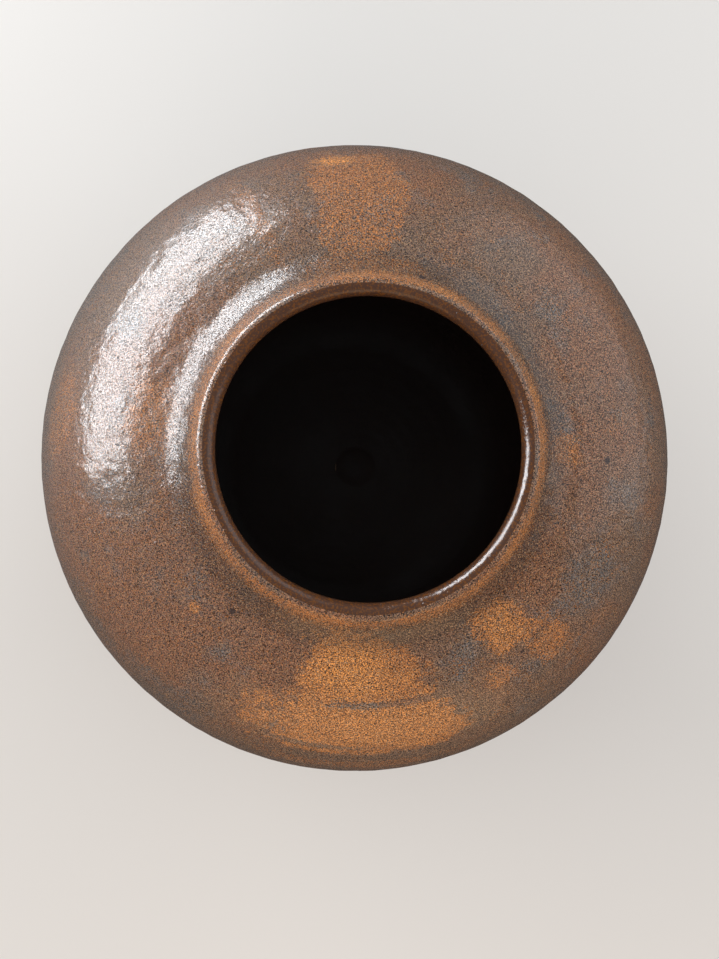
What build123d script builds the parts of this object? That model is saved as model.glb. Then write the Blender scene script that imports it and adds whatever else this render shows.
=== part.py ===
"""Stoneware vase: a wide thrown form with a short flared neck, a rolled lip and a turned foot ring.

The vase stands on its foot with +Z up and its axis on Z. The origin is the middle of the foot's resting
plane. Lengths are in millimetres.

Every wall surface follows one outline, which runs from the crest of the lip down to the foot as arcs that
touch with a common tangent. A place on an arc is given by its tilt: the angle between the outward normal
and straight up, so 0 faces up, 90 faces sideways and 180 faces down. Coats and walls lie at a depth below
the outline, and keep the same arc centres, so they stay parallel to it.
"""
from build123d import *
import os
from math import acos, atan2, cos, degrees, radians, sin, sqrt

# Overall form, on the outer glaze surface
belly_radius = 102.0        # widest radius
belly_height = 106.0        # level of the widest radius
lip_rise = 62.0             # from the widest level to the crest of the lip
mouth_radius = 40.0         # narrowest radius of the mouth

# Walls and coats
clay_wall = 4.2             # fired clay wall
outer_coat = 0.5            # glaze outside
inner_coat = 0.5            # liner glaze inside
clay_floor = 6.0            # fired clay floor

# Neck and shoulder
neck_cove_radius = 20.0     # hollow curve from the lip out to the shoulder
lip_tilt = 56.0             # where the rolled lip runs into the neck
neck_tilt = 12.5            # where the neck runs into the shoulder, the flattest place
shoulder_tilt = 45.0        # where the shoulder runs into the belly

# Foot and floor
foot_radius = 66.0          # outside of the foot ring
foot_width = 9.0            # from outside to inside of the foot ring
foot_height = 7.0           # height of the foot ring
foot_edge = 1.5             # rounding of the ring's two bottom edges
foot_overhang = 1.5         # how far the bowl stands out over the foot ring
glaze_line = 15.0           # level where the outer glaze stops above the bare foot
floor_curve = 25.0          # inside curve from the floor up into the wall
knob_radius = 9.0           # low knob left in the middle of the thrown floor
knob_height = 1.4

# Joints between the thrown sections
slip_film = 0.4             # joining slip
seam_step = 4.0             # height of the step in the belly seam
seat_tilt = 27.0            # where on the neck curve the collar's seat lies
seat_ledge = 5.0            # width of the ledge that the collar sits on
tongue_width = 3.0          # tongue on the foot ring
tongue_height = 2.0
past_wall = 20.0            # how far a cutting shape runs past the wall on each side

# Depths below the outline
glazed_wall = outer_coat + clay_wall + inner_coat
clay_skin = outer_coat
clay_inside = outer_coat + clay_wall
lip_radius = glazed_wall / 2    # the lip is a full round of the wall

# Levels
crest_height = belly_height + lip_rise
base_height = foot_height + slip_film
clay_floor_height = base_height + clay_floor
glaze_floor_height = clay_floor_height + inner_coat


def toward(tilt):
    """Return the unit direction (radius, height) of an outward normal with this tilt."""
    return Vector(sin(radians(tilt)), cos(radians(tilt)))


# Arc centres from the lip down, each from the one before it
lip_centre = Vector(mouth_radius + lip_radius, crest_height - lip_radius)
cove_centre = lip_centre + toward(lip_tilt) * (lip_radius + neck_cove_radius)
cove_end = cove_centre - toward(neck_tilt) * neck_cove_radius


def shoulder_and_belly_radii():
    """Return the radii of two arcs that carry the cove's end to the widest level."""
    start, split = toward(neck_tilt), toward(shoulder_tilt)
    out = belly_radius - cove_end.X
    down = cove_end.Y - belly_height
    shoulder_out, shoulder_down = split.X - start.X, start.Y - split.Y
    belly_out, belly_down = 1 - split.X, split.Y
    spread = shoulder_out * belly_down - belly_out * shoulder_down
    shoulder = (out * belly_down - belly_out * down) / spread
    belly = (shoulder_out * down - shoulder_down * out) / spread
    return shoulder, belly


shoulder_radius, belly_curve = shoulder_and_belly_radii()
shoulder_centre = cove_end - toward(neck_tilt) * shoulder_radius
belly_centre = Vector(belly_radius - belly_curve, belly_height)


def lower_wall():
    """Return the radius and end tilt of the arc from the widest level in to the top of the foot."""
    taper = belly_radius - (foot_radius + foot_overhang)
    drop = belly_height - base_height
    turn = 2 * atan2(taper, drop)
    return drop / sin(turn), 90 + degrees(turn)


lower_radius, base_tilt = lower_wall()
lower_centre = Vector(belly_radius - lower_radius, belly_height)


def bend(centre, radius, first_tilt, last_tilt):
    """Return the arc about centre between two tilts. A hollow curve has a negative radius."""
    middle_tilt = (first_tilt + last_tilt) / 2
    points = [centre + toward(tilt) * radius for tilt in (first_tilt, middle_tilt, last_tilt)]
    return ThreePointArc(*points)


def tilt_at(height, depth):
    """Return the tilt where the lower wall's surface at this depth reaches this height."""
    return degrees(acos((height - lower_centre.Y) / (lower_radius - depth)))


def wall_bends(depth, last_tilt):
    """Return the arcs of the surface at this depth, from below the lip down to last_tilt."""
    return [
        bend(cove_centre, -(neck_cove_radius + depth), lip_tilt, neck_tilt),
        bend(shoulder_centre, shoulder_radius - depth, neck_tilt, shoulder_tilt),
        bend(belly_centre, belly_curve - depth, shoulder_tilt, 90),
        bend(lower_centre, lower_radius - depth, 90, last_tilt),
    ]


def outside(depth, last_tilt):
    """Return the arcs of an outer surface, from the crest of the lip down to last_tilt."""
    return [bend(lip_centre, lip_radius - depth, 0, lip_tilt)] + wall_bends(depth, last_tilt)


def floor_curve_centre():
    """Return the centre of the inside curve, which touches the floor and the lower wall."""
    height = glaze_floor_height + floor_curve
    reach = lower_radius - glazed_wall - floor_curve
    return Vector(lower_centre.X + sqrt(reach**2 - (height - lower_centre.Y) ** 2), height)


def knob_bend(cover):
    """Return the arc over the floor's knob, from its edge to the axis, under this cover of glaze."""
    dome_radius = (knob_radius**2 + knob_height**2) / (2 * knob_height)
    dome_centre = Vector(0, glaze_floor_height + knob_height - dome_radius)
    edge_tilt = degrees(acos((dome_radius - knob_height - cover) / (dome_radius - cover)))
    return bend(dome_centre, dome_radius - cover, edge_tilt, 0)


def inside(cover):
    """Return the edges of an inner surface under this cover of liner glaze, down to the axis."""
    turn_centre = floor_curve_centre()
    from_wall = turn_centre - lower_centre
    turn_tilt = degrees(atan2(from_wall.X, from_wall.Y))
    rim = bend(lip_centre, lip_radius - cover, 0, lip_tilt - 180)
    turn = bend(turn_centre, floor_curve + cover, turn_tilt, 180)
    knob = knob_bend(cover)
    floor_line = Line(turn @ 1, knob @ 0)
    return [rim] + wall_bends(glazed_wall - cover, turn_tilt) + [turn, floor_line, knob]


def section(edges):
    """Return the flat face that these edges close, in the plane of radius and height."""
    return make_face(Curve() + edges)


def box_section(inner, outer, bottom, top):
    """Return a rectangle between two radii and two heights."""
    corners = [(inner, bottom), (outer, bottom), (outer, top), (inner, top)]
    return make_face(Polyline(*corners, close=True))


def ring(flat):
    """Return the solid that a section sweeps in one turn about the vase's axis."""
    return revolve(Plane.XZ * flat, Axis.Z)


def clay_section():
    """Return the fired clay above the foot, from the floor to the lip."""
    last_tilt = tilt_at(base_height, clay_skin)
    outer = outside(clay_skin, last_tilt)
    inner = inside(inner_coat)
    outer_end = outer[-1] @ 1
    inner_end = inner[-1] @ 1
    underside = Line(outer_end, (0, base_height))
    axis_line = Line((0, base_height), inner_end)
    return section(outer + inner + [underside, axis_line])


def outer_glaze_section():
    """Return the outer coat, which ends square to the wall at the glaze line."""
    last_tilt = tilt_at(glaze_line, 0)
    surface = outside(0, last_tilt)
    back = outside(clay_skin, last_tilt)
    crest = Line(surface[0] @ 0, back[0] @ 0)
    stop = Line(surface[-1] @ 1, back[-1] @ 1)
    return section(surface + back + [crest, stop])


def inner_glaze_section():
    """Return the liner coat, from the crest of the lip to the middle of the floor."""
    surface = inside(0)
    back = inside(inner_coat)
    crest = Line(surface[0] @ 0, back[0] @ 0)
    middle = Line(surface[-1] @ 1, back[-1] @ 1)
    return section(surface + back + [crest, middle])


def seam_section(step_radius, outer_level, inner_level):
    """Return a film of slip with a step: one level outside step_radius, another inside it."""
    half = slip_film / 2
    low, high = min(outer_level, inner_level), max(outer_level, inner_level)
    outer_leg = box_section(step_radius - half, step_radius + past_wall, outer_level - half, outer_level + half)
    inner_leg = box_section(step_radius - past_wall, step_radius + half, inner_level - half, inner_level + half)
    riser = box_section(step_radius - half, step_radius + half, low - half, high + half)
    return outer_leg + riser + inner_leg


def belly_seam_section():
    """Return the slip film of the belly seam, stepped in the middle of the wall."""
    middle = belly_radius - clay_skin - clay_wall / 2
    return seam_section(middle, belly_height, belly_height + seam_step)


def seat_section():
    """Return the slip film of the neck seat: a ledge in mid-wall between two upright faces."""
    half = slip_film / 2
    mid_depth = clay_skin + clay_wall / 2
    seat = cove_centre - toward(seat_tilt) * (neck_cove_radius + mid_depth)
    ledge_start, ledge_end = seat.X - seat_ledge / 2, seat.X + seat_ledge / 2
    upper_face = box_section(ledge_end - half, ledge_end + half, seat.Y - half, seat.Y + past_wall)
    ledge = box_section(ledge_start - half, ledge_end + half, seat.Y - half, seat.Y + half)
    lower_face = box_section(ledge_start - half, ledge_start + half, seat.Y - past_wall, seat.Y + half)
    return upper_face + ledge + lower_face


def tongue_section(clearance):
    """Return the foot ring's tongue, grown by a clearance on both sides and on top."""
    middle = foot_radius - foot_width / 2
    half = tongue_width / 2 + clearance
    return box_section(middle - half, middle + half, foot_height, foot_height + tongue_height + clearance)


def foot_ring_section():
    """Return the foot ring with rounded bottom edges and a tongue on top."""
    band = box_section(foot_radius - foot_width, foot_radius, 0, foot_height)
    bottom_corners = band.vertices().sort_by(Axis.Y)[:2]
    return fillet(bottom_corners, foot_edge) + tongue_section(0)


def foot_slip_section():
    """Return the slip film over the top of the foot ring and round its tongue."""
    film = box_section(foot_radius - foot_width, foot_radius, foot_height, base_height)
    return film + tongue_section(slip_film) - tongue_section(0)


def split_clay():
    """Return the clay sections of the bowl, dome and collar and the slip of the two seams."""
    clay = clay_section() - tongue_section(slip_film)
    belly_seam, seat = belly_seam_section(), seat_section()
    pieces = (clay - belly_seam - seat).faces().sort_by(lambda face: face.center().Y)
    bowl, dome, collar = pieces
    return bowl, dome, collar, clay & belly_seam, clay & seat


def sections():
    """Return every piece's section by its name."""
    bowl, dome, collar, belly_slip, neck_slip = split_clay()
    return {
        "foot_ring": foot_ring_section(),
        "foot_slip": foot_slip_section(),
        "lower_bowl": bowl,
        "belly_slip": belly_slip,
        "shoulder_dome": dome,
        "neck_slip": neck_slip,
        "neck_collar": collar,
        "outer_glaze": outer_glaze_section(),
        "inner_glaze": inner_glaze_section(),
    }


os.makedirs("parts", exist_ok=True)
for name, flat in sections().items():
    export_step(ring(flat), f"parts/{name}.step")
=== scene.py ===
"""Finish and studio for a thrown stoneware vase, laid out as an add-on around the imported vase.

Lengths are in metres. A vase surface follows an outline of arcs. A place on an arc is given by its tilt
in degrees: 0 where the surface faces up, 90 where it faces sideways, 180 where it faces down.
"""
from collections import namedtuple
from math import acos, atan2, ceil, cos, degrees, radians, sin, sqrt

import bpy
from bpy.props import FloatProperty, FloatVectorProperty, PointerProperty
from mathutils import Matrix, Vector


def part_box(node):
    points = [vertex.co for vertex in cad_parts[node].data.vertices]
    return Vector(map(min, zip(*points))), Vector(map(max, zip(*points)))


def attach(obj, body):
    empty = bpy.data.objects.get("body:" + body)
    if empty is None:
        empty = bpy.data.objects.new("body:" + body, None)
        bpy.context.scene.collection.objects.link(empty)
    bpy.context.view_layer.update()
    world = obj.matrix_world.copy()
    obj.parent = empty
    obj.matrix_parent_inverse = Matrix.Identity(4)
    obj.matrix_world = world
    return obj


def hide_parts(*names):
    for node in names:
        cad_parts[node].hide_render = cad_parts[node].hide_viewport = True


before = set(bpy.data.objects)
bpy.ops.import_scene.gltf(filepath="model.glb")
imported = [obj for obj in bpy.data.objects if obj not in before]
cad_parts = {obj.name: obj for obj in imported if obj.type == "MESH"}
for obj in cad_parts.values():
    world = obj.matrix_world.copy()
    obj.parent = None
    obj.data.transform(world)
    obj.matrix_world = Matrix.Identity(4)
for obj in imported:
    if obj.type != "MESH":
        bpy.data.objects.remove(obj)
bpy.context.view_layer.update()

bl_info = {
    "name": "Stoneware Vase Finish",
    "version": (1, 0, 0),
    "blender": (4, 5, 0),
    "location": "3D View > Sidebar > Vase",
    "description": "Thrown coats, bare clay and studio for a stoneware vase",
    "category": "Object",
}

MM = 0.001
GLAZE_COAT = 0.5 * MM        # thickness of each glaze coat
SLIP_FILM = 0.4 * MM         # thickness of the joining slip

outer_low, outer_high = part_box("outer_glaze")
bowl_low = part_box("lower_bowl")[0]
liner_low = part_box("inner_glaze")[0]
foot_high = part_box("foot_ring")[1]
foot_slip_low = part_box("foot_slip")[0]
belly_slip_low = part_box("belly_slip")[0]


# Settings that a user would change

def length(name, description, default):
    """Return a length property in metres."""
    return FloatProperty(
        name=name, description=description, default=default, precision=5, subtype="DISTANCE", unit="LENGTH"
    )


def angle(name, description, default):
    """Return an angle property, given in degrees."""
    return FloatProperty(
        name=name, description=description, default=radians(default), subtype="ANGLE", unit="ROTATION"
    )


def share(name, description, default):
    """Return a property between nothing and all."""
    return FloatProperty(
        name=name, description=description, default=default, min=0.0, max=1.0, subtype="FACTOR",
    )


def colour(name, description, default):
    """Return a colour property."""
    return FloatVectorProperty(
        name=name, description=description, default=default, size=3, min=0.0, max=1.0, subtype="COLOR"
    )


def power(name, description, default):
    """Return a light's power in watts."""
    return FloatProperty(name=name, description=description, default=default, unit="POWER")


class VaseForm(bpy.types.PropertyGroup):
    """Sizes of the thrown form, on the outer glaze surface"""

    belly_radius: length("Belly Radius", "Widest radius", min(outer_high.y, -outer_low.x))
    belly_height: length("Belly Height", "Level of the widest radius", belly_slip_low.z + SLIP_FILM / 2)
    crest_height: length("Crest Height", "Level of the crest of the lip", outer_high.z)
    mouth_radius: length("Mouth Radius", "Narrowest radius of the mouth", 40 * MM)
    wall: length("Wall", "Glazed wall", 5.2 * MM)
    coat: length("Coat", "Thickness of each glaze coat", GLAZE_COAT)
    cove_radius: length("Neck Cove Radius", "Hollow curve from the lip to the shoulder", 20 * MM)
    lip_tilt: angle("Lip Tilt", "Where the rolled lip runs into the neck", 56)
    neck_tilt: angle("Neck Tilt", "Where the neck runs into the shoulder", 12.5)
    shoulder_tilt: angle("Shoulder Tilt", "Where the shoulder runs into the belly", 45)
    foot_radius: length("Foot Radius", "Outside of the foot ring", foot_high.x)
    foot_width: length("Foot Width", "From outside to inside of the foot ring", 9 * MM)
    foot_height: length("Foot Height", "Height of the foot ring", foot_slip_low.z)
    foot_edge: length("Foot Edge", "Rounding of the ring's bottom edges", 1.5 * MM)
    foot_overhang: length("Foot Overhang", "How far the bowl stands out over the ring", 1.5 * MM)
    base_height: length("Base Height", "Underside of the bowl", bowl_low.z)
    glaze_line: length("Glaze Line", "Level where the outer glaze stops", outer_low.z)
    floor_height: length("Floor Height", "Glazed floor inside", liner_low.z + GLAZE_COAT)
    floor_curve: length("Floor Curve", "Inside curve from the floor up into the wall", 25 * MM)
    knob_radius: length("Knob Radius", "Low knob in the middle of the thrown floor", 9 * MM)
    knob_height: length("Knob Height", "Height of that knob", 1.4 * MM)


class VaseGlaze(bpy.types.PropertyGroup):
    """Colours and surface of the glazes"""

    chocolate: colour("Chocolate", "Thin matt glaze", (0.195, 0.086, 0.045))
    umber: colour("Umber", "Thicker glaze, greyer", (0.150, 0.092, 0.062))
    gunmetal: colour("Gunmetal", "Blue-grey where the iron floats", (0.115, 0.105, 0.100))
    rust: colour("Rust", "Glaze that breaks to rust", (0.36, 0.130, 0.034))
    amber: colour("Amber", "Brightest rust", (0.56, 0.215, 0.048))
    straw: colour("Straw", "Fine pale specks", (0.52, 0.32, 0.17))
    iron: colour("Iron", "Dark iron spots", (0.028, 0.018, 0.018))
    liner: colour("Liner", "Dark glaze inside", (0.045, 0.027, 0.022))
    liner_rust: colour("Liner Rust", "Thin liner glaze near the lip", (0.075, 0.034, 0.020))
    gloss: share("Gloss Roughness", "Roughness of the outer glaze between its matt grains", 0.11)


class VaseClay(bpy.types.PropertyGroup):
    """Colours of the fired clay"""

    toasted: colour("Toasted", "Bare clay flashed by the kiln", (0.235, 0.125, 0.070))
    buff: colour("Buff", "Paler bare clay", (0.330, 0.215, 0.140))
    grog: colour("Grog", "Pale grit in the clay", (0.46, 0.36, 0.27))
    iron_fleck: colour("Iron Fleck", "Dark grit in the clay", (0.040, 0.024, 0.018))
    slip: colour("Slip", "Joining slip", (0.200, 0.128, 0.085))


class VaseStudio(bpy.types.PropertyGroup):
    """Floor, lights and camera"""

    floor: colour("Floor", "Pale studio floor", (0.70, 0.68, 0.65))
    floor_size: length("Floor Size", "Side of the floor", 6.0)
    floor_in_shine: share("Floor In Shine", "How much of the floor the glaze's shine shows", 0.10)
    key_azimuth: angle("Key Azimuth", "Direction of the large window-like light", 146)
    key_fall: angle("Key Fall", "Angle of that light from straight up", 70)
    key_roll: angle("Key Roll", "Turn of that light about its aim", 9)
    key_distance: length("Key Distance", "From the vase to that light", 1.1)
    key_size: FloatVectorProperty(
        name="Key Size", description="Width and height of that light",
        default=(1.45, 0.62), size=2, unit="LENGTH",
    )
    key_tint: colour("Key Tint", "Colour of that light", (1.0, 0.98, 0.96))
    key_power: power("Key Power", "Power of that light", 9.0)
    sheen_tint: colour("Sheen Tint", "Colour of the same light in the glaze's shine", (0.93, 0.96, 1.0))
    sheen_power: power("Sheen Power", "Power of the same light in the glaze's shine", 54.0)
    air_tint: colour("Air Tint", "Colour of the room's even light", (0.97, 0.98, 1.0))
    air: FloatProperty(name="Air", description="Brightness of the room's even light", default=0.80)
    air_in_shine: FloatProperty(
        name="Air In Shine", description="Brightness of the same light in the glaze's shine", default=0.14
    )
    lens: FloatProperty(
        name="Lens", description="Focal length of the camera",
        default=27.78, unit="CAMERA", subtype="DISTANCE_CAMERA",
    )
    camera_place: FloatVectorProperty(
        name="Camera Place", description="Where the camera stands",
        default=(-0.0126, -0.0109, 0.3564), size=3, subtype="TRANSLATION", unit="LENGTH",
    )
    camera_aim: FloatVectorProperty(
        name="Camera Aim", description="Direction in which it looks",
        default=(0.0520, 0.0155, -0.9985), size=3, subtype="DIRECTION",
    )


# Outline of the vase

Arc = namedtuple("Arc", "centre radius start end")     # a hollow arc has a negative radius
SAME_PLACE = 1e-7                                       # points closer than this are one
STILL, FREE = 0.0, 1.0                                  # the least and the most that a point gives


def toward(tilt):
    """Return the direction (radius, height) of an outward normal with this tilt."""
    return Vector((sin(radians(tilt)), cos(radians(tilt))))


class Outline:
    """The arcs of the vase's wall, worked out from the form's sizes."""

    def __init__(self, form):
        self.form = form
        self.lip_tilt = degrees(form.lip_tilt)
        self.neck_tilt = degrees(form.neck_tilt)
        self.shoulder_tilt = degrees(form.shoulder_tilt)
        self.lip_radius = form.wall / 2
        lip_out, lip_up = form.mouth_radius + self.lip_radius, form.crest_height - self.lip_radius
        self.lip_centre = Vector((lip_out, lip_up))
        self.cove_centre = self.lip_centre + toward(self.lip_tilt) * (self.lip_radius + form.cove_radius)
        self.cove_end = self.cove_centre - toward(self.neck_tilt) * form.cove_radius
        self.shoulder_radius, self.belly_curve = self.shoulder_and_belly_radii()
        self.shoulder_centre = self.cove_end - toward(self.neck_tilt) * self.shoulder_radius
        self.belly_centre = Vector((form.belly_radius - self.belly_curve, form.belly_height))
        taper = form.belly_radius - (form.foot_radius + form.foot_overhang)
        drop = form.belly_height - form.base_height
        self.lower_radius = drop / sin(2 * atan2(taper, drop))
        self.lower_centre = Vector((form.belly_radius - self.lower_radius, form.belly_height))

    def shoulder_and_belly_radii(self):
        """Return the radii of two arcs that carry the cove's end to the widest level."""
        start = toward(self.neck_tilt)
        split = toward(self.shoulder_tilt)
        out = self.form.belly_radius - self.cove_end.x
        down = self.cove_end.y - self.form.belly_height
        shoulder_out, shoulder_down = split.x - start.x, start.y - split.y
        belly_out, belly_down = 1 - split.x, split.y
        spread = shoulder_out * belly_down - belly_out * shoulder_down
        shoulder = (out * belly_down - belly_out * down) / spread
        belly = (shoulder_out * down - shoulder_down * out) / spread
        return shoulder, belly

    def lip(self, depth, end=None):
        """Return the arc over the outside of the lip, at a depth under the glaze surface."""
        return Arc(self.lip_centre, self.lip_radius - depth, 0, self.lip_tilt if end is None else end)

    def cove(self, depth):
        """Return the hollow arc of the neck."""
        return Arc(self.cove_centre, -(self.form.cove_radius + depth), self.lip_tilt, self.neck_tilt)

    def shoulder(self, depth):
        """Return the arc of the shoulder."""
        return Arc(self.shoulder_centre, self.shoulder_radius - depth, self.neck_tilt, self.shoulder_tilt)

    def belly(self, depth):
        """Return the arc from the shoulder to the widest level."""
        return Arc(self.belly_centre, self.belly_curve - depth, self.shoulder_tilt, 90)

    def lower(self, depth, start=90, end=90):
        """Return a stretch of the arc from the widest level down to the foot."""
        return Arc(self.lower_centre, self.lower_radius - depth, start, end)

    def tilt_at(self, height, depth):
        """Return the tilt where the lower wall at this depth reaches this height."""
        return degrees(acos((height - self.lower_centre.y) / (self.lower_radius - depth)))

    def floor_turn(self, cover):
        """Return the arc that carries the inner wall into the floor, under this cover of glaze."""
        height = self.form.floor_height + self.form.floor_curve
        reach = self.lower_radius - self.form.wall - self.form.floor_curve
        centre = Vector((self.lower_centre.x + sqrt(reach**2 - (height - self.lower_centre.y) ** 2), height))
        from_wall = centre - self.lower_centre
        turn_tilt = degrees(atan2(from_wall.x, from_wall.y))
        return Arc(centre, self.form.floor_curve + cover, turn_tilt, 180)

    def knob(self, cover):
        """Return the arc over the floor's knob, from its edge to the axis."""
        radius, height = self.form.knob_radius, self.form.knob_height
        dome = (radius**2 + height**2) / (2 * height)
        centre = Vector((0, self.form.floor_height + height - dome))
        edge_tilt = degrees(acos((dome - height - cover) / (dome - cover)))
        return Arc(centre, dome - cover, edge_tilt, 0)


class Section:
    """A piece's cross-section as a chain of points (radius, height), drawn anticlockwise round the clay.

    Each point has a give: how freely the surface may move there, from STILL to FREE.
    """

    def __init__(self):
        self.points = []
        self.gives = []

    def add(self, point, give):
        """Add a point unless the chain already ends there."""
        if not self.points or (self.points[-1] - point).length > SAME_PLACE:
            self.points.append(point)
            self.gives.append(give)

    def arc(self, arc, spacing, give=STILL, backward=False):
        """Add an arc in even steps, from its start to its end or backward."""
        start, end = (arc.end, arc.start) if backward else (arc.start, arc.end)
        steps = max(2, ceil(abs(arc.radius) * radians(abs(end - start)) / spacing))
        for step in range(steps + 1):
            tilt = start + (end - start) * step / steps
            self.add(arc.centre + toward(tilt) * arc.radius, give)

    def line(self, end, spacing, give=STILL):
        """Add a straight run from the last point to end."""
        start = self.points[-1]
        end = Vector(end)
        steps = max(1, ceil((end - start).length / spacing))
        for step in range(1, steps + 1):
            self.add(start.lerp(end, step / steps), give)

    def runs(self):
        """Return each point's distance along the chain."""
        distances = [0.0]
        for before, after in zip(self.points, self.points[1:]):
            distances.append(distances[-1] + (after - before).length)
        return distances

    def faded_gives(self, fade):
        """Return the gives, each held under a slope that rises from every still point over this length."""
        distances = self.runs()
        still = [run for run, give in zip(distances, self.gives) if give == STILL]
        faded = []
        for run, give in zip(distances, self.gives):
            nearest = min((abs(run - place) for place in still), default=fade)
            rise = min(1.0, nearest / fade)
            faded.append(give * rise * rise * (3 - 2 * rise))
        return faded


def section_mesh(name, section, fade, slide_level=-1.0, slide_fade=1.0, slide_way=Vector((0, 0))):
    """Return a section as a mesh of points with their give, run and slide as attributes.

    The slide is whole up to the slide level and fades out over the height above it.
    """
    mesh = bpy.data.meshes.new(name)
    points = [(point.x, 0, point.y) for point in section.points]
    edges = [(index, index + 1) for index in range(len(points) - 1)]
    mesh.from_pydata(points, edges, [])
    give = mesh.attributes.new("give", "FLOAT", "POINT")
    give.data.foreach_set("value", section.faded_gives(fade))
    run = mesh.attributes.new("run", "FLOAT", "POINT")
    run.data.foreach_set("value", section.runs())
    slide = mesh.attributes.new("slide", "FLOAT_VECTOR", "POINT")
    for place, point in zip(slide.data, section.points):
        above = max(0.0, point.y - slide_level)
        share_left = max(0.0, 1 - above / slide_fade)
        place.vector = (slide_way.x * share_left, 0, slide_way.y * share_left)
    return mesh


# Node building

MIX_INPUTS = (0, 6, 7)      # a Mix node's factor and its two colours
MIX_OUTPUT = 2              # a Mix node's colour


def titled(name):
    """Return a socket's label from a name with underscores."""
    return name.replace("_", " ").title()


class Bench:
    """Adds nodes to one node tree and joins them up. Most calls return the new node's output socket."""

    def __init__(self, tree):
        self.tree = tree

    def feed(self, socket, value):
        """Give an input a plain value or the socket that feeds it."""
        if isinstance(value, bpy.types.NodeSocket):
            self.tree.links.new(value, socket)
        else:
            socket.default_value = value

    def node(self, kind, inputs=None, **settings):
        """Add a node with its settings and inputs."""
        made = self.tree.nodes.new(kind)
        for name, value in settings.items():
            setattr(made, name, value)
        for key, value in (inputs or {}).items():
            self.feed(made.inputs[key], value)
        return made

    def first(self, kind, inputs=None, **settings):
        """Add a node and return its first output."""
        return self.node(kind, inputs, **settings).outputs[0]

    def math(self, operation, *values):
        """Add a Math node."""
        return self.first("ShaderNodeMath", dict(enumerate(values)), operation=operation)

    def plus(self, *values):
        """Add several values together."""
        total = values[0]
        for value in values[1:]:
            total = self.math("ADD", total, value)
        return total

    def minus(self, value, less):
        """Take less away from a value."""
        return self.math("SUBTRACT", value, less)

    def times(self, value, factor):
        """Multiply two values."""
        return self.math("MULTIPLY", value, factor)

    def over(self, value, divisor):
        """Divide a value."""
        return self.math("DIVIDE", value, divisor)

    def larger(self, first, second):
        """Return the larger of two values."""
        return self.math("MAXIMUM", first, second)

    def vector_math(self, operation, *values):
        """Add a Vector Math node."""
        return self.first("ShaderNodeVectorMath", dict(enumerate(values)), operation=operation)

    def scaled(self, vector, amount):
        """Return a vector times a number."""
        return self.first("ShaderNodeVectorMath", {0: vector, "Scale": amount}, operation="SCALE")

    def parts(self, vector):
        """Return a vector's three parts."""
        return self.node("ShaderNodeSeparateXYZ", {0: vector}).outputs

    def joined(self, x=0.0, y=0.0, z=0.0):
        """Return a vector made of three parts."""
        return self.first("ShaderNodeCombineXYZ", {0: x, 1: y, 2: z})

    def noise(self, position, size, detail=2.0, roughness=0.5):
        """Add a Noise texture with features of about this size, from 0 to 1."""
        scale = self.over(1.0, size) if isinstance(size, bpy.types.NodeSocket) else 1.0 / size
        inputs = {"Vector": position, "Scale": scale, "Detail": detail, "Roughness": roughness}
        return self.first("ShaderNodeTexNoise", inputs)

    def fit(self, value, low, high, to_low=0.0, to_high=1.0, smooth=True):
        """Map a value from one range to another, held at its ends."""
        inputs = {"Value": value, "From Min": low, "From Max": high, "To Min": to_low, "To Max": to_high}
        slope = "SMOOTHSTEP" if smooth else "LINEAR"
        return self.first("ShaderNodeMapRange", inputs, interpolation_type=slope)

    def swing(self, position, size, reach, detail=2.0, roughness=0.5):
        """Add noise that swings from minus reach to reach."""
        noise = self.noise(position, size, detail, roughness)
        return self.fit(noise, 0.25, 0.75, -reach, reach, smooth=False)

    def band(self, value, rise, fall):
        """Return a mask that rises from 0 to 1 over one range of the value and falls back over another."""
        return self.times(self.fit(value, *rise), self.fit(value, *reversed(fall)))

    def mix(self, factor, first, second, blend="MIX"):
        """Mix two colours."""
        made = self.node("ShaderNodeMix", data_type="RGBA", blend_type=blend, clamp_factor=True)
        for index, value in zip(MIX_INPUTS, (factor, first, second)):
            plain_colour = not isinstance(value, (float, bpy.types.NodeSocket))
            self.feed(made.inputs[index], (*value[:3], 1.0) if plain_colour else value)
        return made.outputs[MIX_OUTPUT]

    def group(self, tree, **inputs):
        """Add a shader node group and return its outputs."""
        titled_inputs = {titled(name): value for name, value in inputs.items()}
        return self.node("ShaderNodeGroup", titled_inputs, node_tree=tree).outputs


def new_tree(name, kind, inputs):
    """Return a new node group's bench and the sockets of its inputs."""
    tree = bpy.data.node_groups.new(name, kind)
    for label, value_type, default in inputs:
        socket_type = "NodeSocket" + value_type
        socket = tree.interface.new_socket(name=label, in_out="INPUT", socket_type=socket_type)
        if default is not None:
            socket.default_value = default
    bench = Bench(tree)
    return bench, bench.node("NodeGroupInput").outputs


def close_tree(bench, value_type, outputs):
    """Give a node group its outputs, all of one type, and return its tree."""
    socket_type = "NodeSocket" + value_type
    for label in outputs:
        bench.tree.interface.new_socket(name=label, in_out="OUTPUT", socket_type=socket_type)
    bench.node("NodeGroupOutput", outputs)
    return bench.tree


# Throwing, as geometry nodes

WELD = 1e-6                 # points closer than this are one
SHARP_CORNER = 40           # an edge that turns more degrees than this stays crisp
CARRIED = {"give": "FLOAT", "run": "FLOAT", "slide": "FLOAT_VECTOR"}     # what a section's points carry


def named(bench, name):
    """Read what the points carry under a name."""
    return bench.first("GeometryNodeInputNamedAttribute", {"Name": name}, data_type=CARRIED[name])


def along_section(bench, given, value, data_type, row):
    """Read a field of the section at a row."""
    inputs = {"Geometry": given["Section"], "Value": value, "Index": row}
    return bench.first("GeometryNodeSampleIndex", inputs, data_type=data_type, domain="POINT")


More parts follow.
